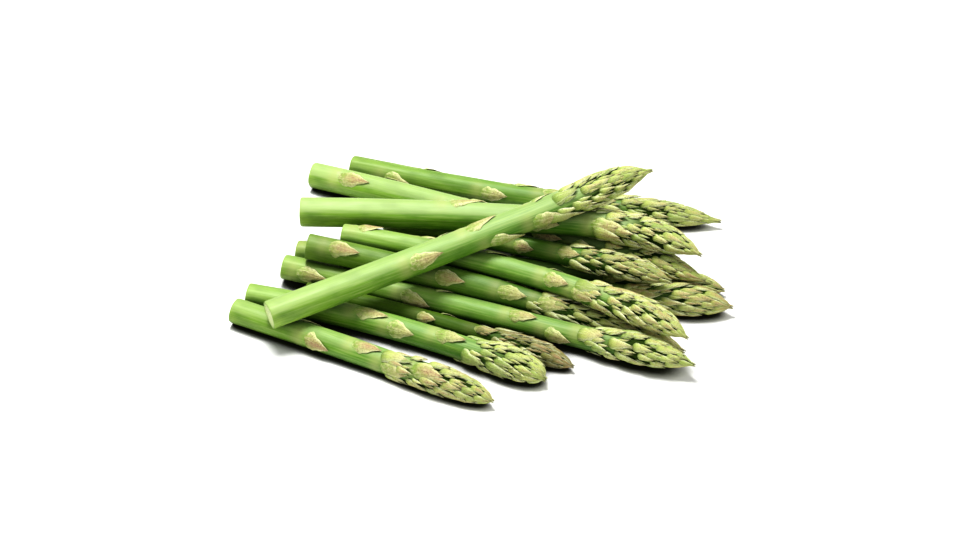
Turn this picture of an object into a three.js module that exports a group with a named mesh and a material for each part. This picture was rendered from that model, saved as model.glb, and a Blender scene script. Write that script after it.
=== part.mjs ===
// A loose bunch of cut green asparagus, lying on a flat surface.
//
// Each spear is one solid: a round stalk with a flat cut at its butt, a slight neck, and a
// swollen head that closes to a point. The triangular scale leaves that clasp the stalk are
// solids of their own. Spears are laid one after another: each one comes down, straight, onto
// the surface and onto the spears already there, and stops where it is held on both sides of
// its middle. Millimetres, +Z up, the surface at Z = 0, the bunch centred on the origin.
import * as THREE from 'three';

const RADIANS = Math.PI / 180;

// Around and along a spear.
const SIDES = 12;
const STEPS = 120;
const STALK_RINGS = 9;
const HEAD_RINGS = 11;
const TIP_CROWDING = 1.5;

// Shape of a spear. The neck and the droop of the tip are shares of the butt's radius.
const NECK = 0.94;
const TIP_DROOP = 0.3;
const SHOULDER_LENGTH = 26;
const HOOK_START = 0.6;

// Distance kept between spears that touch, and where a flat side of a spear lies.
const TOUCH_GAP = 0.4;
const FLAT_SIDE = Math.cos(Math.PI / SIDES);

// A scale leaf: clear of the stalk by a hair, thickest along its middle.
const SCALE_CLEARANCE = 0.7;
const SCALE_THICKNESS = 0.75;
const SCALE_EDGE_THICKNESS = 0.45;
const SCALE_HALF_WIDTH = 62 * RADIANS;
const SCALE_LENGTH = 1.2;
const SCALE_COLUMNS = 5;
const SCALE_ROWS = [0, 0.3, 0.6, 0.82];
const SCALE_POINT = 1;
const SCALE_FULLNESS = 0.75;

const STALK_GREEN = 0x86b544;
const SCALE_GREEN = 0xb9c983;
const STALK_ROUGHNESS = 0.5;
const SCALE_ROUGHNESS = 0.65;

// In laying order. butt and tip are the two ends in plan. bow is how far the stalk's heading
// turns along its length and hook how far the head's turns on top of that, in degrees,
// anticlockwise from above. lift is how far the tip curls up. width is the butt's diameter,
// head the head's widest diameter, taper the length over which the head closes and point how
// sharply: 0.5 is rounded and 1 is pointed. scales holds each scale leaf as its place along
// the spear, from 0 at the butt to 1 at the tip, and its angle from straight up.
const SPEARS = [
  { butt: [-132, -18], tip: [7, -94], bow: -2, hook: 0, lift: 0,
    width: 14, head: 15.6, taper: 30, point: 0.5,
    scales: [[0.275, 72], [0.46, 8], [0.575, 80], [0.7, 35]] },
  { butt: [-125, -5], tip: [35, -76], bow: -19, hook: 0, lift: 0,
    width: 14, head: 16.8, taper: 19, point: 0.5,
    scales: [[0.345, 8], [0.456, 55], [0.62, 12]] },
  { butt: [-93.5, 1], tip: [50, -63], bow: -14, hook: 0, lift: 0,
    width: 10.6, head: 12, taper: 22, point: 0.6,
    scales: [[0.41, 45], [0.62, 20]] },
  { butt: [-106, 18.5], tip: [115, -69], bow: -9, hook: 0, lift: 8,
    width: 13.4, head: 16.2, taper: 33, point: 0.8,
    scales: [[0.03, 66], [0.28, 66], [0.54, 15], [0.63, 79], [0.715, 25]] },
  { butt: [-99, 34], tip: [136, -14], bow: 4, hook: 0, lift: 0,
    width: 13, head: 16.6, taper: 25, point: 0.75,
    scales: [[0.02, -6], [0.5, 40], [0.75, 30]] },
  { butt: [-70, 110], tip: [131, 63], bow: 10, hook: 0, lift: 0,
    width: 13, head: 14.4, taper: 40, point: 0.8,
    scales: [[0.09, 80], [0.36, 64], [0.52, 0], [0.66, 70]] },
  { butt: [-40, 34], tip: [132, 3], bow: -2, hook: 0, lift: 0,
    width: 11, head: 12.4, taper: 20, point: 0.6,
    scales: [[0.62, 50]] },
  { butt: [-51, 60], tip: [103, -14], bow: -8, hook: 0, lift: 0,
    width: 12, head: 13, taper: 30, point: 0.7,
    scales: [[0.04, 40], [0.45, 60], [0.6, 35]] },
  { butt: [-91, 102], tip: [121, -6], bow: -7, hook: 0, lift: 0,
    width: 14.4, head: 14.8, taper: 33, point: 0.75,
    scales: [[0.07, 35], [0.33, 60], [0.56, 70], [0.665, 88]] },
  { butt: [-93, 19], tip: [110, -48], bow: -11, hook: 0, lift: 0,
    width: 14, head: 14, taper: 32, point: 0.75,
    scales: [[0.05, 32], [0.33, 50], [0.5, 42], [0.6, 42]] },
  { butt: [-74, 29], tip: [111, -61], bow: -22, hook: -8, lift: 0,
    width: 13.4, head: 15.8, taper: 33, point: 0.75,
    scales: [[0.03, -15], [0.2, -60], [0.555, 40], [0.645, 75], [0.735, -20]] },
  { butt: [-97, 50], tip: [119, -3], bow: -8, hook: -24, lift: 0,
    width: 15.8, head: 16, taper: 32, point: 0.8,
    scales: [[0.19, -100], [0.35, -25], [0.54, 60], [0.71, 60]] },
  { butt: [-113, -39], tip: [93, 49], bow: 3, hook: 0, lift: 0,
    width: 15.6, head: 16, taper: 28, point: 0.95,
    scales: [[0.35, 60], [0.51, -20], [0.55, 115], [0.67, 90]] },
];

const smooth = (t) => {
  const clamped = Math.min(Math.max(t, 0), 1);
  return clamped * clamped * (3 - 2 * clamped);
};

// The heading's turn from the butt's own heading, at a share of the length.
function turnAt(spear, share) {
  const hooked = smooth((share - HOOK_START) / (1 - HOOK_START));
  return (spear.bow * share + spear.hook * hooked) * RADIANS;
}

// The line in plan as a list of points from butt to tip, turned and scaled to meet both.
function planLine(spear) {
  const walk = [new THREE.Vector2()];
  for (let i = 0; i < STEPS; i += 1) {
    const turn = turnAt(spear, (i + 0.5) / STEPS);
    walk.push(walk[i].clone().add(new THREE.Vector2(Math.cos(turn), Math.sin(turn))));
  }
  const butt = new THREE.Vector2(...spear.butt);
  const chord = new THREE.Vector2(...spear.tip).sub(butt);
  const reach = walk[STEPS];
  const scale = chord.length() / reach.length();
  const rotation = chord.angle() - reach.angle();
  const centre = new THREE.Vector2();
  const points = walk.map((p) => p.rotateAround(centre, rotation).multiplyScalar(scale).add(butt));
  return { points, length: scale * STEPS };
}

// The radius at a distance along a spear.
function radiusAt(spear, distance, length) {
  const butt = spear.width / 2;
  const neck = NECK * butt;
  const widest = spear.head / 2;
  const toTip = Math.max(length - distance, 0);
  if (toTip < spear.taper) {
    return widest * (1 - (1 - toTip / spear.taper) ** 2) ** spear.point;
  }
  const neckPlace = length - spear.taper - SHOULDER_LENGTH;
  if (distance > neckPlace) {
    return neck + (widest - neck) * smooth((distance - neckPlace) / SHOULDER_LENGTH);
  }
  return butt + (neck - butt) * smooth(distance / neckPlace);
}

// How far the centre line rises above the straight resting line, so that the underside is
// straight up to the head's widest place and the tip droops a little after it.
function riseAt(spear, distance, length) {
  const widest = length - spear.taper;
  const underside = radiusAt(spear, Math.min(distance, widest), length) - spear.width / 2;
  const pastWidest = Math.max(0, distance - widest) / spear.taper;
  const droop = TIP_DROOP * (spear.width / 2) * pastWidest ** 2;
  return FLAT_SIDE * underside - droop + spear.lift * (distance / length) ** 3;
}

// A spear's stations from butt to tip, before it has been laid.
function stationsOf(spear) {
  const { points, length } = planLine(spear);
  const stations = points.map((point, i) => {
    const distance = (length * i) / STEPS;
    const radius = radiusAt(spear, distance, length);
    return { x: point.x, y: point.y, distance, radius, rise: riseAt(spear, distance, length) };
  });
  return { stations, length };
}

// The lowest height at which a station clears the surface and every spear already laid.
function lowestHeight(station, laid) {
  let height = station.radius * FLAT_SIDE;
  for (const other of laid.flat()) {
    const needed = station.radius + other.radius + TOUCH_GAP;
    const apart = Math.hypot(station.x - other.x, station.y - other.y);
    if (apart < needed) {
      height = Math.max(height, other.z + Math.sqrt(needed ** 2 - apart ** 2));
    }
  }
  return height - station.rise;
}

// Lays a spear: of all the pairs of places that could hold it, one on each side of its
// middle, the pair that holds the middle highest is the one that it comes to rest on.
function lay(stations, laid) {
  const heights = stations.map((station) => lowestHeight(station, laid));
  const weight = stations.reduce((sum, s) => sum + s.radius ** 2, 0);
  const moment = stations.reduce((sum, s) => sum + s.radius ** 2 * s.distance, 0);
  const middle = moment / weight;
  let held = { height: -Infinity, slope: 0 };
  stations.forEach((a, i) => {
    stations.forEach((b, j) => {
      if (a.distance > middle || b.distance <= middle) return;
      const slope = (heights[j] - heights[i]) / (b.distance - a.distance);
      const height = heights[i] + slope * (middle - a.distance);
      if (height > held.height) held = { height, slope };
    });
  });
  stations.forEach((station) => {
    station.z = held.height + held.slope * (station.distance - middle) + station.rise;
  });
}

// The directions along, up from and across a laid spear at a station.
function frameAt(stations, index) {
  const before = stations[Math.max(index - 1, 0)];
  const after = stations[Math.min(index + 1, STEPS)];
  const along = new THREE.Vector3(after.x - before.x, after.y - before.y, after.z - before.z);
  along.normalize();
  const across = new THREE.Vector3().crossVectors(along, new THREE.Vector3(0, 0, 1)).normalize();
  const up = new THREE.Vector3().crossVectors(across, along);
  return { up, across };
}

// A point at an angle from straight up and a distance from the centre line.
function pointAround(stations, index, angle, radius) {
  const { up, across } = frameAt(stations, index);
  const { x, y, z } = stations[index];
  return new THREE.Vector3(x, y, z)
    .addScaledVector(up, radius * Math.cos(angle))
    .addScaledVector(across, radius * Math.sin(angle));
}

function solidFrom(vertices, faces, colour, roughness, name) {
  const geometry = new THREE.BufferGeometry().setFromPoints(vertices);
  geometry.setIndex(faces.flat());
  geometry.computeVertexNormals();
  const material = new THREE.MeshStandardMaterial({ color: colour, roughness, metalness: 0 });
  const mesh = new THREE.Mesh(geometry, material);
  mesh.name = name;
  return mesh;
}

// The stations that carry a ring: even along the stalk and closer together towards the tip.
function ringIndices(spear, length) {
  const headLength = spear.taper + SHOULDER_LENGTH;
  const stalkEnd = 1 - headLength / length;
  const indices = [];
  for (let i = 0; i < STALK_RINGS; i += 1) {
    indices.push(Math.round((STEPS * stalkEnd * i) / STALK_RINGS));
  }
  for (let i = 0; i < HEAD_RINGS; i += 1) {
    const left = (1 - i / HEAD_RINGS) ** TIP_CROWDING;
    indices.push(Math.round(STEPS * (1 - (left * headLength) / length)));
  }
  return indices;
}

// A closed tube of rings, with a flat cut at the butt and a point at the tip.
function spearMesh(spear, stations, length, name) {
  const rings = ringIndices(spear, length);
  const vertices = rings.flatMap((index) => Array.from({ length: SIDES }, (_, side) => {
    const angle = ((side + 0.5) * 2 * Math.PI) / SIDES;
    return pointAround(stations, index, angle, stations[index].radius);
  }));
  const buttCentre = vertices.length;
  vertices.push(pointAround(stations, 0, 0, 0));
  const tip = vertices.length;
  vertices.push(pointAround(stations, STEPS, 0, 0));
  const faces = [];
  const lastRing = (rings.length - 1) * SIDES;
  for (let side = 0; side < SIDES; side += 1) {
    const next = (side + 1) % SIDES;
    faces.push([buttCentre, next, side]);
    for (let ring = 0; ring < lastRing; ring += SIDES) {
      faces.push([ring + side, ring + SIDES + next, ring + SIDES + side]);
      faces.push([ring + side, ring + next, ring + SIDES + next]);
    }
    faces.push([lastRing + side, lastRing + next, tip]);
  }
  return solidFrom(vertices, faces, STALK_GREEN, STALK_ROUGHNESS, name);
}

// One side of a scale leaf, outer or inner: rows of points that narrow to the leaf's point.
function scaleSheet(spear, stations, length, place, angle, outer) {
  const points = [];
  const sheetPoint = (share, across) => {
    const distance = place * length + share * SCALE_LENGTH * spear.width;
    const index = Math.round((STEPS * distance) / length);
    const halfWidth = SCALE_HALF_WIDTH * (1 - share) ** SCALE_FULLNESS;
    const thickness = THREE.MathUtils.lerp(SCALE_THICKNESS, SCALE_EDGE_THICKNESS, across ** 2);
    const offset = SCALE_CLEARANCE + (outer ? thickness : 0);
    const radius = stations[index].radius + offset;
    return pointAround(stations, index, angle * RADIANS + across * halfWidth, radius);
  };
  SCALE_ROWS.forEach((share) => {
    for (let column = 0; column <= SCALE_COLUMNS; column += 1) {
      points.push(sheetPoint(share, (2 * column) / SCALE_COLUMNS - 1));
    }
  });
  points.push(sheetPoint(SCALE_POINT, 0));
  return points;
}

// A thin closed shell that clasps the stalk, widest at its base and pointed at its end.
function scaleMesh(spear, stations, length, [place, angle], name) {
  const outer = scaleSheet(spear, stations, length, place, angle, true);
  const inner = scaleSheet(spear, stations, length, place, angle, false);
  const shift = outer.length;
  const point = outer.length - 1;
  const width = SCALE_COLUMNS + 1;
  const sheet = [];
  for (let row = 0; row < SCALE_ROWS.length; row += 1) {
    for (let column = 0; column < SCALE_COLUMNS; column += 1) {
      const corner = row * width + column;
      if (row === SCALE_ROWS.length - 1) {
        sheet.push([corner, corner + 1, point]);
      } else {
        sheet.push([corner, corner + width + 1, corner + width]);
        sheet.push([corner, corner + 1, corner + width + 1]);
      }
    }
  }
  const left = SCALE_ROWS.map((_, row) => row * width);
  const right = SCALE_ROWS.map((_, row) => row * width + SCALE_COLUMNS);
  const base = Array.from({ length: width }, (_, column) => column);
  const rim = [...left.reverse(), ...base.slice(1), ...right.slice(1), point];
  const faces = sheet.map((face) => [...face]);
  sheet.forEach(([a, b, c]) => faces.push([a + shift, c + shift, b + shift]));
  rim.forEach((from, i) => {
    const to = rim[(i + 1) % rim.length];
    faces.push([from, to + shift, to]);
    faces.push([from, from + shift, to + shift]);
  });
  return solidFrom([...outer, ...inner], faces, SCALE_GREEN, SCALE_ROUGHNESS, name);
}

const bunch = new THREE.Group();
const laid = [];
SPEARS.forEach((spear, number) => {
  const { stations, length } = stationsOf(spear);
  lay(stations, laid);
  laid.push(stations);
  const name = `spear_${String(number + 1).padStart(2, '0')}`;
  bunch.add(spearMesh(spear, stations, length, name));
  spear.scales.forEach((scale, i) => {
    bunch.add(scaleMesh(spear, stations, length, scale, `${name}_scale_${i + 1}`));
  });
});

// Centre the bunch over the origin, on the surface.
const box = new THREE.Box3().setFromObject(bunch, true);
const centre = box.getCenter(new THREE.Vector3());
bunch.position.set(-centre.x, -centre.y, -box.min.z);

export default bunch;
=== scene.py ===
"""The look of a loose bunch of green asparagus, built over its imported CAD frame. Metres."""

import math

import bpy
import numpy as np
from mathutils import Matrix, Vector


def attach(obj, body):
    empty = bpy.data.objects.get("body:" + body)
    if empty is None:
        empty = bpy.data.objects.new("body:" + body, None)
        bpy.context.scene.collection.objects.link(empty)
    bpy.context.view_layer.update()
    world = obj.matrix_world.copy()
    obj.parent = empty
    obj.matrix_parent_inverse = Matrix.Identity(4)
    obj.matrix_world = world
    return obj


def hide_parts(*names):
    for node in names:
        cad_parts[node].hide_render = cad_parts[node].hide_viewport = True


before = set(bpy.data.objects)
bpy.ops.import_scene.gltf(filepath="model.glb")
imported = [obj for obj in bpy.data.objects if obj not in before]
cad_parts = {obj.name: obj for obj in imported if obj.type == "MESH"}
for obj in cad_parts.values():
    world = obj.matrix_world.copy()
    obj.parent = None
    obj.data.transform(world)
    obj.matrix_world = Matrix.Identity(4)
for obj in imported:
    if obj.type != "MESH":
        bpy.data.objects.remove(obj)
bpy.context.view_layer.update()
rng = np.random.default_rng(13)

MM = 0.001
FULL_TURN = 2 * math.pi
GOLDEN_ANGLE = math.radians(137.5)

# A spear's centre line: the distance between its points, and the reach of its evening out.
STEP = 0.5 * MM
LINE_EASE = 5 * MM
# The last part of a spear, where its CAD solid is cut more closely to read its shape.
TIP_REACH = 40 * MM
# The area of the CAD's 12-sided sections is this many times their radius squared.
SECTION_AREA = 3
# The head is widest at most this far from the tip.
HEAD_LIMIT = 60 * MM

# The stalk's sides, the distance between its rings, the rounding of the butt's edge, and the
# cut face: how far it is dished, and its rings as shares of the rim.
STALK_SIDES = 56
STALK_SPACING = 1.4 * MM
EDGE_REACH = 0.9 * MM
EDGE_ROUNDING = 0.25 * MM
DISH = 0.35 * MM
CUT_RINGS = np.array([1.0, 0.97, 0.9, 0.78, 0.62, 0.44, 0.25, 0.08])
# Waves round the stalk: depth as a share of the radius, number of waves, how far they wander.
WAVES = [(0.014, 2, 0.5), (0.012, 3, -0.3), (0.012, 5, 0.2), (0.005, 11, 0.0)]
RIDGE_HEIGHT = 0.2 * MM

# The length over which the stalk passes into the head, and how far the head's core then lies
# below the CAD solid's surface, to leave room for the buds.
SHOULDER = 26 * MM
CORE_DEPTH = 1.3 * MM
# The first bud starts this far before the head, and the last one this far before the tip.
FIRST_BUD = 11 * MM
LAST_BUD = 4.5 * MM
# The scales of a bud, the covering one first: how far ahead and aside each one starts and how
# long and wide it is, as shares of the bud's length and half width, and then its rise, bulge
# and lift in millimetres.
BUD_SCALES = [
    (0.0, 0.0, 1.0, 1.05, 0.6, 1.2, 0.7),
    (0.28, 0.78, 0.66, 0.46, 0.3, 0.9, 0.7),
    (0.33, -0.78, 0.66, 0.46, 0.3, 0.9, 0.7),
    (0.5, 0.1, 0.62, 0.5, 0.5, 0.8, 0.9),
]

# How deep a scale's base is sunk into the stalk, and the least that half its width comes to.
SCALE_SINK = 0.6 * MM
SCALE_POINT = 0.12 * MM
# The side of a spear that faces away from the photo's camera, as angles from its top.
FAR_SIDE = (-2.6, -0.9)
# A leaf on that side keeps this far from the CAD's leaves, along the spear or round it.
LEAF_SPACING = 15 * MM
LEAF_TURN = 2.0
# How wide a leaf's base swells the stalk, as an angle: for leaves in the CAD, and for others.
CAD_LEAF_SWELL = 0.95
FAR_LEAF_SWELL = 0.9

# What would be lower than this is pressed into the space between it and the surface.
PRESS_HEIGHT = 0.4 * MM

# The places of the materials in a piece's list.
STALK, LEAF, CUT, BUD = range(4)

# How much each spear is darkened, partly by its own duller tone and partly by painted shade where
# it lies in shadow, how much of it is flushed with tan, and how much painted light from above
# pales its upper side, from 0 to 1.
LOOKS = {
    "spear_01": (0.1, 0.6, 0.5),
    "spear_02": (0.05, 0.25, 0.3),
    "spear_03": (1.0, 0.6, 0.0),
    "spear_04": (0.14, 0.3, 0.4),
    "spear_05": (0.25, 0.7, 0.2),
    "spear_06": (0.28, 0.3, 0.2),
    "spear_07": (0.36, 0.6, 0.1),
    "spear_08": (0.45, 0.55, 0.1),
    "spear_09": (0.05, 0.8, 0.9),
    "spear_10": (0.6, 0.5, 0.1),
    "spear_11": (0.11, 0.55, 0.45),
    "spear_12": (0.1, 0.5, 1.0),
    "spear_13": (0.07, 0.4, 0.8),
}


def smooth(t):
    """Eases from 0 to 1 as t passes from 0 to 1."""
    t = np.clip(t, 0, 1)
    return t * t * (3 - 2 * t)


def wrapped(angle):
    """An angle brought to within half a turn of zero."""
    return (angle + math.pi) % FULL_TURN - math.pi


def pressed(height):
    """Heights with whatever would pass below the surface pressed flat against it instead."""
    low = np.minimum(height, PRESS_HEIGHT)
    return np.where(height < PRESS_HEIGHT, PRESS_HEIGHT**2 / (2 * PRESS_HEIGHT - low), height)


# ---------------------------------------------------------------- centre lines


def corners(node):
    return np.array([v.co[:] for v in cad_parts[node].data.vertices])


def section(points, edges, origin, axis, distance):
    """Where a plane across the axis cuts a closed mesh: the cut's centre and its area."""
    height = (points - origin) @ axis - distance
    a, b = height[edges[:, 0]], height[edges[:, 1]]
    cut = (a < 0) != (b < 0)
    share = (a[cut] / (a[cut] - b[cut]))[:, None]
    ends = edges[cut]
    outline = points[ends[:, 0]] * (1 - share) + points[ends[:, 1]] * share
    middle = outline.mean(0)
    side = np.cross(axis, (0, 0, 1))
    side /= np.linalg.norm(side)
    up = np.cross(side, axis)
    x, y = (outline - middle) @ side, (outline - middle) @ up
    order = np.arctan2(y, x).argsort()
    x, y = x[order], y[order]
    x2, y2 = np.roll(x, -1), np.roll(y, -1)
    cross = x * y2 - x2 * y
    area = cross.sum() / 2
    cx = ((x + x2) * cross).sum() / (6 * area)
    cy = ((y + y2) * cross).sum() / (6 * area)
    return middle + cx * side + cy * up, area


def smoothed(values, reach):
    """Values along a line, evened out over a distance, with both ends kept."""
    n = int(3 * reach / STEP)
    weights = np.exp(-0.5 * (np.arange(-n, n + 1) * STEP / reach) ** 2)
    weights /= weights.sum()
    before = 2 * values[0] - values[n:0:-1]
    after = 2 * values[-1] - values[-2 : -n - 2 : -1]
    padded = np.concatenate([before, values, after])
    return np.stack([np.convolve(c, weights, "valid") for c in padded.T], 1)


class Spear:
    """A spear's centre line and thickness, read from its CAD node.

    Distances run from the butt to the tip. Angles are 0 at the top and turn towards the side
    that faces the photo's camera.
    """

    def __init__(self, name):
        points = corners(name)
        edges = np.array([e.vertices[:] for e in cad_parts[name].data.edges])
        axis = np.linalg.svd(points - points.mean(0), full_matrices=False)[2][0]
        axis *= np.sign(axis[0])
        along = points @ axis
        tip = points[along.argmax()]
        ring = np.unique(points[along < along.min() + 5 * MM].round(6), axis=0)
        butt = (ring.min(0) + ring.max(0)) / 2
        chord = np.linalg.norm(tip - butt)
        axis = (tip - butt) / chord
        marks = np.concatenate(
            [
                np.arange(8 * MM, chord - TIP_REACH, 5 * MM),
                np.arange(chord - TIP_REACH, chord - 2 * MM, 2 * MM),
                chord - np.array([1.5, 0.8, 0.3]) * MM,
            ]
        )
        cuts = [section(points, edges, butt, axis, m) for m in marks]
        line = np.array([butt] + [c[0] for c in cuts] + [tip])
        lean = np.gradient(line, axis=0)
        lean = (lean / np.linalg.norm(lean, axis=1)[:, None]) @ axis
        area = np.array([c[1] for c in cuts]) * lean[1:-1]
        thick = np.sqrt(area / SECTION_AREA)
        thick = np.concatenate([[thick[0]], thick, [0.1 * MM]])
        run = np.concatenate([[0], np.linalg.norm(np.diff(line, axis=0), axis=1).cumsum()])
        self.length = run[-1]
        grid = np.arange(0, self.length + STEP, STEP)
        line = np.stack([np.interp(grid, run, c) for c in line.T], 1)
        self.line = smoothed(line, LINE_EASE)
        self.thick = np.interp(grid, run, thick)
        self.along = np.gradient(self.line, axis=0)
        self.along /= np.linalg.norm(self.along, axis=1)[:, None]
        self.across = np.cross(self.along, (0, 0, 1))
        self.across /= np.linalg.norm(self.across, axis=1)[:, None]
        self.up = np.cross(self.across, self.along)
        self.widest = max(grid[self.thick.argmax()], self.length - HEAD_LIMIT)
        self.head = self.widest - SHOULDER

    def read(self, values, distance):
        """Values given at every step of the centre line, read at other distances."""
        place = np.clip(distance / STEP, 0, len(values) - 1.001)
        low = place.astype(int)
        share = place - low
        if values.ndim > 1:
            share = share[..., None]
        return values[low] * (1 - share) + values[low + 1] * share

    def radius(self, distance):
        return self.read(self.thick, distance)

    def point(self, distance, angle, radius):
        distance, angle, radius = np.broadcast_arrays(distance, angle, radius)
        beyond = np.maximum(distance - self.length, 0)[..., None]
        centre = self.read(self.line, distance) + self.along[-1] * beyond
        up, across = self.read(self.up, distance), self.read(self.across, distance)
        turn = angle[..., None]
        return centre + radius[..., None] * (np.cos(turn) * up + np.sin(turn) * across)

    def locate(self, points):
        """The first and last distance along the spear of points beside it, and their angle."""
        near = ((points[:, None] - self.line[None]) ** 2).sum(2).argmin(1)
        i = int(np.median(near))
        off = points.mean(0) - self.line[i]
        angle = math.atan2(off @ self.across[i], off @ self.up[i])
        return near.min() * STEP, near.max() * STEP, angle


# ---------------------------------------------------------------- meshes


class Shells:
    """Gathers grids of points into one mesh, with the facts that its materials read.

    grow: where a point is on its spear, as the angle's cosine and sine and the distance in
    centimetres. On a cut face, the place on the face and the distance from its middle.
    leaf: where it is on its scale, across from -1 to 1 and along from 0 to 1, and the scale's
    own seed. On a stalk, how pale it is, three times over.
    place: the share of the spear's length. The last fact: how far it is shut in, from 0 to 1,
    which the materials darken as painted shade.
    """

    FACTS = {"grow": 3, "leaf": 3, "place": 1, "deep": 1}

    def __init__(self):
        self.points, self.faces, self.kinds = [], [], []
        self.facts = {name: [] for name in self.FACTS}
        self.count = 0

    def add(self, points, faces, kind, **facts):
        """Adds points and the faces between them. Facts that aren't given are zero."""
        points = points.reshape(-1, 3)
        self.points.append(points)
        self.faces += (faces + self.count).tolist()
        self.kinds.append(np.full(len(faces), kind))
        for name, wide in self.FACTS.items():
            given = np.asarray(facts.get(name, np.zeros(wide))).reshape(-1, wide)
            self.facts[name].append(np.broadcast_to(given, (len(points), wide)))
        self.count += len(points)

    def close(self, point, kind, outward, **facts):
        """Adds a point, and the triangles between it and the ring of the stalk added last."""
        ring = np.arange(-STALK_SIDES, 0)
        following = np.roll(ring, -1)
        pair = (ring, following) if outward else (following, ring)
        self.add(point, np.stack([*pair, np.zeros_like(ring)], 1), kind, **facts)

    def mesh(self, name, materials, look):
        mesh = bpy.data.meshes.new(name)
        points = np.concatenate(self.points)
        points[:, 2] = pressed(points[:, 2])
        mesh.from_pydata(points.tolist(), [], self.faces)
        for fact, values in self.facts.items():
            kind, key = ("FLOAT_VECTOR", "vector") if self.FACTS[fact] == 3 else ("FLOAT", "value")
            layer = mesh.attributes.new(fact, kind, "POINT")
            layer.data.foreach_set(key, np.concatenate(values).ravel())
        for fact, value in zip(("dull_and_shade", "blush", "top_light"), look):
            layer = mesh.attributes.new(fact, "FLOAT", "POINT")
            layer.data.foreach_set("value", np.full(self.count, value))
        for material in materials:
            mesh.materials.append(material)
        mesh.polygons.foreach_set("material_index", np.concatenate(self.kinds))
        mesh.polygons.foreach_set("use_smooth", np.ones(len(self.faces), bool))
        mesh.update()
        piece = bpy.data.objects.new(name, mesh)
        bpy.context.scene.collection.objects.link(piece)
        return piece


def grid_faces(rows, columns, closed=False):
    """Quads over a grid of points, row by row, facing out when the columns run round."""
    row = np.arange(rows - 1)[:, None] * columns
    column = np.arange(columns if closed else columns - 1)[None]
    following = (column + 1) % columns
    quads = [row + column, row + following, row + columns + following, row + columns + column]
    return np.stack([q.ravel() for q in np.broadcast_arrays(*quads)], 1)


def scale_faces(rows, columns):
    """The faces of a thin shell: a grid, the same grid turned over, and walls round the rim."""
    over = grid_faces(rows, columns)
    count = rows * columns
    start = np.arange(rows) * columns
    end = start + columns - 1
    front = np.arange(columns)
    back = front + (rows - 1) * columns
    rim = np.concatenate([front[:-1], end[:-1], back[:0:-1], start[:0:-1]])
    following = np.roll(rim, -1)
    walls = np.stack([rim, rim + count, following + count, following], 1)
    return np.concatenate([over, over[:, ::-1] + count, walls])


def grow_fact(distance, angle):
    return np.stack([np.cos(angle), np.sin(angle), distance * 100], -1)


def add_stalk(shells, spear, leaf_bases):
    """The stalk and the head's core, as one closed loft with a cut butt."""
    length = spear.length
    count = int((length - 2 * MM) / STALK_SPACING)
    evenly = np.linspace(EDGE_REACH, length - 1.5 * MM, count)
    distance = np.concatenate([[0.0, 0.25 * MM], evenly])
    angle = np.arange(STALK_SIDES) * FULL_TURN / STALK_SIDES
    s, a = np.meshgrid(distance, angle, indexing="ij")
    phase = rng.uniform(0, FULL_TURN, 8)
    wander = np.sin(s / (17 * MM) + phase[4]) + np.sin(s / (9 * MM) + phase[5])
    shape = 0.985
    for (depth, number, sway), start in zip(WAVES, phase):
        shape = shape + depth * np.sin(number * a + start + sway * wander)
    radius = spear.radius(s) * shape
    # The butt's edge is rounded, and fine ridges run up to the head.
    radius -= EDGE_ROUNDING * np.clip(1 - s / EDGE_REACH, 0, 1) ** 2
    into_head = smooth((s - spear.head) / SHOULDER)
    for ridge in phase[:5]:
        off = np.abs(wrapped(a - ridge - 0.1 * wander))
        radius += RIDGE_HEIGHT * np.exp(-off / 0.2) * (1 - into_head)
    radius -= np.minimum(CORE_DEPTH * into_head, 0.5 * radius)
    # The stalk swells and pales where a leaf grows.
    pale = np.zeros_like(s)
    for base, turn, width in leaf_bases:
        swell = np.exp(-((wrapped(a - turn) / width) ** 4))
        ridge = np.exp(-(((s - base + 0.6 * MM) / (1.3 * MM)) ** 2))
        radius += 0.28 * MM * ridge * swell * (1 - into_head)
        pale = np.maximum(pale, np.exp(-(((s - base + 1.5 * MM) / (4 * MM)) ** 2)) * swell)
    shells.add(
        spear.point(s, a, radius),
        grid_faces(len(distance), STALK_SIDES, True),
        STALK,
        grow=grow_fact(s, a),
        leaf=np.stack([pale, pale, pale], -1),
        place=s / length,
        # Painted shade grows in the head's core, under the buds.
        deep=smooth((s - spear.head - 10 * MM) / (16 * MM)),
    )
    tip = spear.point(length - 0.6 * MM, 0.0, 0.0)
    shells.close(tip, STALK, True, place=1.0, deep=1.0, grow=(0, 0, length * 100))
    add_cut_face(shells, spear, angle, radius[0])


def add_cut_face(shells, spear, angle, rim):
    """The slightly dished cut face: rings drawn in from the rim, and a point in the middle."""
    share, a = np.meshgrid(CUT_RINGS, angle, indexing="ij")
    shells.add(
        spear.point(DISH * (1 - share**2), a, rim * share),
        grid_faces(len(CUT_RINGS), STALK_SIDES, True)[:, ::-1],
        CUT,
        grow=np.stack([share * np.cos(a), share * np.sin(a), share], -1),
    )
    shells.close(spear.point(DISH, 0.0, 0.0), CUT, False)


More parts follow.
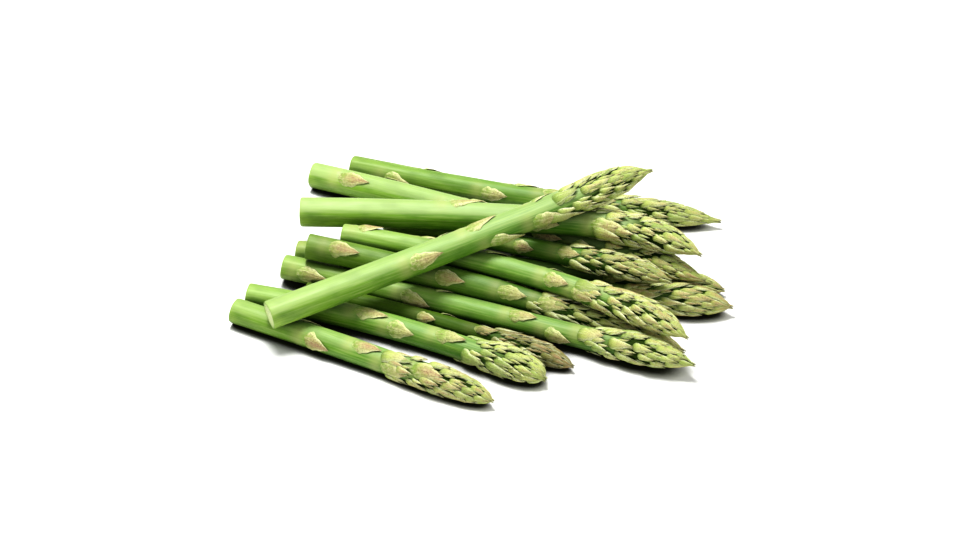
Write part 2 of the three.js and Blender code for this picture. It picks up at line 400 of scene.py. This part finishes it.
def add_scale(
    shells,
    spear,
    base,
    length,
    turn,
    half_width,
    *,
    bulge,
    lift,
    detail=(14, 13),
    kind=LEAF,
    rise=0.35 * MM,
    core=0.0,
    twist=0.0,
    full=1.0,
    taper=1.3,
    thickness=0.4 * MM,
    arch=0.16,
    ragged=0.09,
    curl=0.0,
    hug=0.0,
    root=0.18,
):
    """One scale: a thin closed shell that clasps the stalk and narrows to a point.

    From its sunk base it comes out to its rise over the first part of its length, root. It
    bulges in the middle and lifts at the point. Its edges curl out, or hug the stalk. A higher
    taper or a lower full makes its outline blunter, and its base arches forward at the sides.
    core is how far below the CAD solid's surface it stands.
    """
    rows, columns = detail
    seed, left, right, puckers = rng.uniform(0, 1, 4)
    along = np.linspace(0, 1, rows) ** 0.9
    along, across = np.meshgrid(along, np.linspace(-1, 1, columns), indexing="ij")
    side = 20 * np.where(across < 0, left, right)
    notches = np.sin(8 * along + side) + 0.7 * np.sin(21 * along + 2 * side)
    hump = np.sin(math.pi * along)
    width = half_width * (1 - along**taper) ** full * (1 + 0.14 * hump)
    width *= 1 + ragged * notches * smooth(3 * along)
    width = np.maximum(width, SCALE_POINT)
    s = base + length * (along + arch * across**2 * (1 - along) ** 2)
    under = np.maximum(spear.radius(np.minimum(s, spear.length - 0.3 * MM)) - core, 0.35 * MM)
    clasped = np.maximum(spear.radius(np.minimum(s, spear.length)), 1.6 * MM)
    angle = turn + across * width / clasped + twist * along
    inner = 1 - np.abs(across) ** 2.4
    outer = np.abs(across) ** 3
    height = under + (
        rise * smooth(along / root)
        - SCALE_SINK * (1 - smooth(along / root))
        + bulge * np.sin(math.pi * along**0.75) ** 0.9 * inner
        + lift * along**2.2
        + (curl * (1 + 0.5 * notches) * hump - 0.12 * MM) * outer
        - hug * outer * (1 - smooth((along - 0.35) / 0.6))
        + curl * 0.4 * np.sin(7 * across + 9 * along + 20 * puckers) * hump * inner
        + 0.06 * MM * np.sin(14 * across + 9 * seed) * hump
    )
    thin = thickness * (0.35 + 0.65 * inner) * (1 - 0.6 * along)
    leaf = np.stack([across, along, np.full_like(along, seed)], -1)
    shells.add(
        np.stack([spear.point(s, angle, height), spear.point(s, angle, height - thin)]),
        scale_faces(rows, columns),
        kind,
        grow=np.stack([grow_fact(s, angle)] * 2),
        leaf=np.stack([leaf] * 2),
        place=np.stack([s / spear.length] * 2),
        # The underside is marked for painted shade.
        deep=np.repeat([0, 0.6], rows * columns),
    )


def add_bud(shells, spear, base, turn, length, half_width, loose, core):
    """A bract and the small scales of the bud that it covers, which show beside and beyond it."""
    jitter = rng.normal(0, 1, 8)
    spread = half_width / np.maximum(spear.radius(base), 2.2 * MM)
    for i, (ahead, aside, long, wide, rise, bulge, lift) in enumerate(BUD_SCALES):
        own, other = jitter[i], jitter[7 - i]
        start = base + ahead * length
        add_scale(
            shells,
            spear,
            start,
            min(length * long * (1 + 0.08 * own), spear.length + 0.5 * MM - start),
            turn + (aside + 0.12 * other) * spread,
            half_width * wide * (1 + 0.08 * own),
            bulge=bulge * (0.35 + 0.65 * loose) * (1 + 0.15 * own) * MM,
            lift=lift * loose * (0.6 + 0.9 * abs(other)) * MM,
            detail=(11, 9),
            kind=BUD,
            rise=rise * MM,
            core=core,
            twist=(0.4 * aside + 0.2 * own) * spread * 0.5,
            full=0.95,
            taper=1.35,
            thickness=0.5 * MM,
            arch=0.06,
            ragged=0.08,
        )


def add_head(shells, spear):
    """The buds of the head, in a spiral that tightens towards the tip."""
    start = spear.head - FIRST_BUD
    closing = spear.length - spear.widest
    turn = rng.uniform(0, FULL_TURN)
    s = start
    while s < spear.length - LAST_BUD:
        # Shares from 0 to 1: of the head's length, of the part past its widest place, of full
        # thickness, and of the low, large and widely spaced buds at the start.
        t = (s - start) / (spear.length - start)
        past = max(0.0, s - spear.widest) / closing
        size = min(1.0, spear.radius(s) / (8 * MM))
        low = 1 - smooth(t / 0.34)
        vary = 1 + 0.13 * rng.normal()
        length = (13.3 - 3.3 * t + 3 * low) * MM * (0.7 + 0.3 * size) * vary
        half_width = (2.75 - 0.35 * t + 1.8 * low) * MM * (0.35 + 0.65 * size) * vary
        core = CORE_DEPTH * smooth((s - spear.head) / SHOULDER)
        loose = max(0.0, 1 - 1.25 * past) * (0.5 + 0.5 * size)
        place, aside = s + rng.normal(-1, 0.35) * MM, rng.normal(0, 0.12)
        add_bud(shells, spear, place, turn + aside, length, half_width, loose, core)
        s += (1.95 + 1.7 * low - 0.95 * smooth(t * 1.9)) * MM * (1 - 0.3 * past)
        turn += GOLDEN_ANGLE


# ---------------------------------------------------------------- materials


def srgb(r, g, b):
    """A colour given as 0 to 255 on screen, in the linear values that shaders take."""
    c = np.array([r, g, b]) / 255
    c = np.where(c <= 0.04045, c / 12.92, ((c + 0.055) / 1.055) ** 2.4)
    return (*c.tolist(), 1.0)


class Nodes:
    """Makes shader nodes and joins them."""

    def __init__(self, name):
        self.material = bpy.data.materials.new(name)
        self.material.use_nodes = True
        self.tree = self.material.node_tree
        self.shader = self.tree.nodes["Principled BSDF"]

    def make(self, kind, **values):
        node = self.tree.nodes.new(kind)
        for key, value in values.items():
            setattr(node, key, value)
        return node

    def feed(self, value, target):
        """Sets an input to a number or colour, or joins it to another node's output."""
        if isinstance(value, bpy.types.NodeSocket):
            self.tree.links.new(value, target)
        else:
            target.default_value = value

    def number(self, fact):
        return self.make("ShaderNodeAttribute", attribute_name=fact).outputs["Fac"]

    def vector(self, fact):
        return self.make("ShaderNodeAttribute", attribute_name=fact).outputs["Vector"]

    def split(self, vector):
        node = self.make("ShaderNodeSeparateXYZ")
        self.feed(vector, node.inputs[0])
        return node.outputs

    def maths(self, operation, *values, clamp=False):
        node = self.make("ShaderNodeMath", operation=operation, use_clamp=clamp)
        for value, target in zip(values, node.inputs):
            self.feed(value, target)
        return node.outputs[0]

    def plus(self, a, b):
        return self.maths("ADD", a, b)

    def times(self, a, b, clamp=False):
        return self.maths("MULTIPLY", a, b, clamp=clamp)

    def mapped(self, vector, scale):
        node = self.make("ShaderNodeMapping")
        self.feed(vector, node.inputs["Vector"])
        node.inputs["Scale"].default_value = scale
        return node.outputs[0]

    def noise(self, vector, scale, detail):
        node = self.make("ShaderNodeTexNoise")
        self.feed(vector, node.inputs["Vector"])
        node.inputs["Scale"].default_value = scale
        node.inputs["Detail"].default_value = detail
        node.inputs["Roughness"].default_value = 0.55
        return node.outputs["Fac"]

    def span(self, value, low, high, to_low=0.0, to_high=1.0):
        """A value between low and high carried over to between to_low and to_high."""
        node = self.make("ShaderNodeMapRange", clamp=True)
        self.feed(value, node.inputs["Value"])
        names = ("From Min", "From Max", "To Min", "To Max")
        for name, number in zip(names, (low, high, to_low, to_high)):
            node.inputs[name].default_value = number
        return node.outputs["Result"]

    def ramp(self, value, stops):
        node = self.make("ShaderNodeValToRGB")
        self.feed(value, node.inputs["Fac"])
        elements = node.color_ramp.elements
        while len(elements) < len(stops):
            elements.new(0.5)
        for element, (place, colour) in zip(elements, stops):
            element.position = place
            element.color = colour
        return node.outputs["Color"]

    def mix(self, factor, a, b):
        node = self.make("ShaderNodeMix", data_type="RGBA")
        self.feed(factor, node.inputs[0])
        self.feed(a, node.inputs[6])
        self.feed(b, node.inputs[7])
        return node.outputs[2]

    def bump(self, height, strength, distance):
        node = self.make("ShaderNodeBump")
        self.feed(height, node.inputs["Height"])
        node.inputs["Strength"].default_value = strength
        node.inputs["Distance"].default_value = distance
        self.feed(node.outputs[0], self.shader.inputs["Normal"])

    def shaded(self, colour, dark, reach, strength, shut, opened, samples=6):
        """Painted shade: the colour darkened where the surface is shut in by others near it."""
        node = self.make("ShaderNodeAmbientOcclusion", samples=samples)
        node.inputs["Distance"].default_value = reach
        closed = self.span(node.outputs["AO"], shut, opened, strength, 0.0)
        return self.mix(closed, colour, dark)

    def finish(self, colour, roughness, subsurface, specular):
        self.feed(colour, self.shader.inputs["Base Color"])
        self.feed(roughness, self.shader.inputs["Roughness"])
        self.shader.inputs["Subsurface Weight"].default_value = subsurface
        self.shader.inputs["Subsurface Radius"].default_value = (1.0, 1.2, 0.35)
        self.shader.inputs["Subsurface Scale"].default_value = 1.2 * MM
        self.feed(specular, self.shader.inputs["Specular IOR Level"])
        return self.material


def stalk_material():
    """Green with long streaks, paler at the butt, with painted light on top and painted shade in
    hollows.
    """
    n = Nodes("asparagus_stalk")
    grow = n.vector("grow")
    deep = n.number("deep")
    dull_and_shade = n.number("dull_and_shade")
    upward = n.split(grow)[0]
    streaks = n.noise(n.mapped(grow, (4.5, 4.5, 0.22)), 1.6, 4.0)
    fine = n.noise(n.mapped(grow, (16.0, 16.0, 0.5)), 1.8, 2.0)
    patches = n.noise(n.mapped(grow, (0.8, 0.8, 0.4)), 1.3, 2.0)
    green = n.ramp(
        n.number("place"),
        [
            (0.0, srgb(136, 172, 58)),
            (0.12, srgb(116, 160, 36)),
            (0.4, srgb(96, 149, 20)),
            (0.62, srgb(70, 129, 10)),
            (0.9, srgb(64, 106, 10)),
        ],
    )
    colour = n.mix(n.span(streaks, 0.42, 0.72, 0.0, 0.7), green, srgb(158, 189, 92))
    colour = n.mix(n.span(patches, 0.46, 0.72, 0.0, 0.6), colour, srgb(60, 108, 14))
    colour = n.mix(n.span(fine, 0.5, 0.8, 0.0, 0.3), colour, srgb(184, 202, 126))
    # Painted light: the upper side is mixed towards pale green in streaks, as if lit from above.
    top_light = n.span(n.plus(upward, n.times(streaks, 0.25)), 0.62, 0.86)
    top_light = n.times(top_light, n.number("top_light"))
    colour = n.mix(n.times(top_light, 0.6), colour, srgb(176, 198, 128))
    # On a stalk, the leaf fact says how pale it is.
    colour = n.mix(n.times(n.number("leaf"), 0.55), colour, srgb(178, 186, 112))
    # Partly the spear's own duller tone and partly painted shade on spears that lie in shadow.
    colour = n.mix(n.times(dull_and_shade, 0.8), colour, srgb(56, 76, 14))
    # Painted shade in the head's core, between and under the buds.
    colour = n.mix(n.times(deep, 0.95), colour, srgb(36, 52, 10))
    # Painted shade where other surfaces are near: in the gaps between spears and where they touch.
    colour = n.shaded(colour, srgb(24, 56, 2), 12 * MM, 0.92, 0.14, 0.8)
    rough = n.plus(n.span(patches, 0.3, 0.7, 0.46, 0.6), n.times(deep, 0.35))
    shine = n.times(n.span(deep, 0.0, 1.0, 0.38, 0.05), n.span(dull_and_shade, 0.5, 1.0, 1.0, 0.3))
    n.bump(n.plus(streaks, n.times(fine, 0.5)), 0.35, 0.25 * MM)
    return n.finish(colour, rough, 0.1, shine)


def scale_material(name, head):
    """Papery scales with pale veins and margins and a tan flush, for the stalk or the head."""
    n = Nodes(name)
    leaf = n.vector("leaf")
    grow = n.vector("grow")
    across, along, seed = n.split(leaf)
    dull_and_shade = n.number("dull_and_shade")
    edge = n.maths("ABSOLUTE", across)
    veins = n.noise(n.mapped(leaf, (7.0, 1.3, 60.0)), 1.4, 3.0)
    fineness = 9.0 if head else 6.0
    grain = n.noise(n.mapped(grow, (fineness, fineness, fineness)), 2.2, 3.0)
    if head:
        body = n.ramp(
            along,
            [
                (0.0, srgb(90, 122, 38)),
                (0.3, srgb(186, 206, 104)),
                (0.75, srgb(222, 230, 156)),
                (1.0, srgb(160, 142, 92)),
            ],
        )
        body = n.mix(n.span(seed, 0.62, 0.95, 0.0, 0.75), body, srgb(126, 158, 68))
        near_tip = n.span(n.number("place"), 0.86, 0.99, 0.0, 0.6)
        body = n.mix(near_tip, body, srgb(178, 200, 92))
        # Partly a duller tone and partly painted shade on spears that lie in shadow.
        body = n.mix(n.times(dull_and_shade, 0.85), body, srgb(100, 100, 44))
        flush, margin, bruise = srgb(176, 138, 100), srgb(234, 238, 192), srgb(92, 90, 42)
        reach, shut, opened = 4 * MM, 0.14, 0.66
    else:
        body = n.ramp(
            along,
            [
                (0.0, srgb(118, 156, 54)),
                (0.3, srgb(144, 174, 78)),
                (0.75, srgb(190, 190, 120)),
                (1.0, srgb(128, 98, 60)),
            ],
        )
        blotches = n.noise(n.mapped(grow, (2.5, 2.5, 2.5)), 1.7, 2.0)
        body = n.mix(n.span(blotches, 0.45, 0.65, 0.0, 0.7), body, srgb(206, 208, 146))
        # Partly a duller tone and partly painted shade on spears that lie in shadow.
        body = n.mix(n.times(dull_and_shade, 0.5), body, srgb(104, 106, 52))
        flush, margin, bruise = srgb(174, 134, 102), srgb(232, 234, 172), srgb(104, 92, 48)
        reach, shut, opened = 3.5 * MM, 0.1, 0.7
    blush = n.times(n.span(edge, 0.95, 0.1), n.span(along, 0.1, 0.5))
    blush = n.times(blush, n.span(seed, 0.9, 0.1, 0.2, 1.3))
    blush = n.times(blush, n.span(grain, 0.35, 0.6, 0.4, 1.2))
    blush = n.times(blush, n.plus(n.number("blush"), 0.12), clamp=True)
    colour = n.mix(blush, body, flush)
    rim = n.times(n.span(edge, 0.5, 0.95), n.span(veins, 0.35, 0.6, 0.3, 0.95))
    rim = n.times(rim, n.span(along, 0.05, 0.4))
    colour = n.mix(rim, colour, margin)
    colour = n.mix(n.span(veins, 0.52, 0.75, 0.0, 0.5), colour, margin)
    colour = n.mix(n.span(grain, 0.52, 0.7, 0.0, 0.68), colour, bruise)
    # Painted shade on each scale's underside.
    colour = n.mix(n.times(n.number("deep"), 0.9), colour, srgb(40, 42, 12))
    # Painted shade where other surfaces are near: in the crevices between scales and at their
    # edges.
    colour = n.shaded(colour, srgb(34, 40, 6), reach, 0.92, shut, opened)
    n.bump(n.plus(veins, n.times(grain, 0.7)), 0.75, 0.4 * MM)
    return n.finish(colour, n.span(veins, 0.3, 0.7, 0.55, 0.7), 0.1, 0.3)


def cut_material():
    """A pale middle with scattered fibres, and a green rim."""
    n = Nodes("asparagus_cut_face")
    grow = n.vector("grow")
    out = n.split(grow)[2]
    face = n.mapped(grow, (1.0, 1.0, 0.0))
    cells = n.make("ShaderNodeTexVoronoi")
    n.feed(face, cells.inputs["Vector"])
    cells.inputs["Scale"].default_value = 8.0
    between = n.span(cells.outputs["Distance"], 0.16, 0.3)
    grain = n.noise(face, 14.0, 3.0)
    colour = n.ramp(
        out,
        [
            (0.0, srgb(222, 232, 176)),
            (0.75, srgb(206, 222, 150)),
            (0.93, srgb(150, 184, 92)),
            (1.0, srgb(112, 148, 60)),
        ],
    )
    colour = n.mix(n.maths("SUBTRACT", 1.0, between), colour, srgb(168, 178, 108))
    colour = n.mix(n.span(grain, 0.5, 0.8, 0.0, 0.4), colour, srgb(186, 178, 122))
    n.bump(n.plus(between, grain), 0.5, 0.3 * MM)
    return n.finish(colour, n.span(grain, 0.3, 0.7, 0.45, 0.65), 0.15, 0.4)


# In the order of STALK, LEAF, CUT and BUD.
materials = [
    stalk_material(),
    scale_material("asparagus_scale_leaf", False),
    cut_material(),
    scale_material("asparagus_bud_scale", True),
]


# ---------------------------------------------------------------- the spears


def far_leaves(spear, leaf_bases):
    """Places for leaves on the spear's far side that are clear of the CAD's leaves."""
    found = []
    s = 14 * MM + rng.uniform(0, 14) * MM
    turn = rng.uniform(0, FULL_TURN)
    while s < spear.head - 4 * MM:
        clear = all(
            abs(s - base) > LEAF_SPACING or abs(wrapped(turn - other)) > LEAF_TURN
            for base, other, _ in leaf_bases
        )
        if clear and FAR_SIDE[0] < wrapped(turn) < FAR_SIDE[1]:
            found.append((s, turn, FAR_LEAF_SWELL))
        s += rng.uniform(5, 9) * MM
        turn += GOLDEN_ANGLE
    return found


for name in sorted(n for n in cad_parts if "_scale_" not in n):
    spear = Spear(name)
    # The stalk's width, which the size of its leaves follows.
    width = spear.radius(0.3 * spear.length) * 2
    leaf_bases = []
    for leaf_name in sorted(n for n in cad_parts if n.startswith(name + "_scale_")):
        start, end, turn = spear.locate(corners(leaf_name))
        leaf_bases.append((start, turn, CAD_LEAF_SWELL))
        leaf = Shells()
        jitter = rng.normal(0, 1, 4)
        add_scale(
            leaf,
            spear,
            start - 1 * MM,
            (end - start) * (1.12 + 0.08 * jitter[3]),
            turn,
            0.43 * width * (1 + 0.08 * jitter[0]),
            bulge=(0.65 + 0.2 * jitter[1]) * MM,
            lift=(0.3 + 0.6 * abs(jitter[2])) * MM,
            detail=(26, 23),
            twist=0.1 * jitter[0],
            curl=0.15 * MM,
            hug=0.45 * MM,
            root=0.36,
        )
        # Two places in the list, because LEAF is the second.
        piece = leaf.mesh(leaf_name + "_look", [materials[LEAF]] * 2, LOOKS[name])
        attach(piece, "root")
        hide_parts(leaf_name)
    shells = Shells()
    extra = far_leaves(spear, leaf_bases)
    add_stalk(shells, spear, leaf_bases + extra)
    for base, turn, _ in extra:
        add_scale(
            shells,
            spear,
            base,
            1.15 * width,
            turn,
            0.42 * width,
            bulge=0.5 * MM,
            lift=0.3 * MM,
            curl=0.2 * MM,
        )
    add_head(shells, spear)
    piece = shells.mesh(name + "_look", materials, LOOKS[name])
    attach(piece, "root")
    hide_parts(name)


# ---------------------------------------------------------------- stage, light and camera

FLOOR_REACH = 12.0
LIGHTS_AIM = Vector((0, 0, 0.02))
WORLD_STRENGTH = 0.43
CAMERA_TILT = math.radians(38)
CAMERA_DISTANCE = 5.76
CAMERA_AIM = Vector((-0.0004, -0.0003, 0.0128))


def floor_piece():
    """A white board with painted shadow, darkening softly below and between the spears."""
    mesh = bpy.data.meshes.new("floor")
    around = [(-1, -1), (1, -1), (1, 1), (-1, 1)]
    outline = [(x * FLOOR_REACH, y * FLOOR_REACH, 0) for x, y in around]
    mesh.from_pydata(outline, [], [(0, 1, 2, 3)])
    piece = bpy.data.objects.new("floor", mesh)
    bpy.context.scene.collection.objects.link(piece)
    n = Nodes("white_board")
    board = (0.86, 0.86, 0.85, 1)
    # Painted shadow: the board darkens where the spears shut it in.
    colour = n.shaded(board, srgb(40, 42, 30), 30 * MM, 1.0, 0.38, 0.66, samples=24)
    n.feed(colour, n.shader.inputs["Base Color"])
    n.shader.inputs["Roughness"].default_value = 0.6
    n.shader.inputs["Specular IOR Level"].default_value = 0.2
    mesh.materials.append(n.material)
    return piece


def soft_light(name, place, size, power):
    """A round light that faces the spears."""
    light = bpy.data.lights.new(name, "AREA")
    light.shape = "DISK"
    light.size = size
    light.energy = power
    lamp = bpy.data.objects.new(name, light)
    lamp.location = place
    lamp.rotation_euler = (LIGHTS_AIM - Vector(place)).to_track_quat("-Z", "Y").to_euler()
    bpy.context.scene.collection.objects.link(lamp)


floor_piece()
soft_light("key", (-0.2, 0.26, 1.4), size=0.5, power=25)
soft_light("fill", (0.9, -1.2, 1.4), size=1.4, power=6)

world = bpy.data.worlds.new("studio")
world.use_nodes = True
background = world.node_tree.nodes["Background"]
background.inputs["Color"].default_value = (1, 1, 1, 1)
background.inputs["Strength"].default_value = WORLD_STRENGTH
bpy.context.scene.world = world
bpy.context.scene.view_settings.view_transform = "Standard"
bpy.context.scene.view_settings.look = "Medium High Contrast"

camera_data = bpy.data.cameras.new("camera")
camera_data.lens = 400
camera_data.sensor_width = 36
camera_data.clip_end = 50
camera = bpy.data.objects.new("camera", camera_data)
toward = Vector((0, -math.cos(CAMERA_TILT), math.sin(CAMERA_TILT)))
camera.location = CAMERA_AIM + CAMERA_DISTANCE * toward
camera.rotation_euler = (math.pi / 2 - CAMERA_TILT, 0, 0)
bpy.context.scene.collection.objects.link(camera)
bpy.context.scene.camera = camera
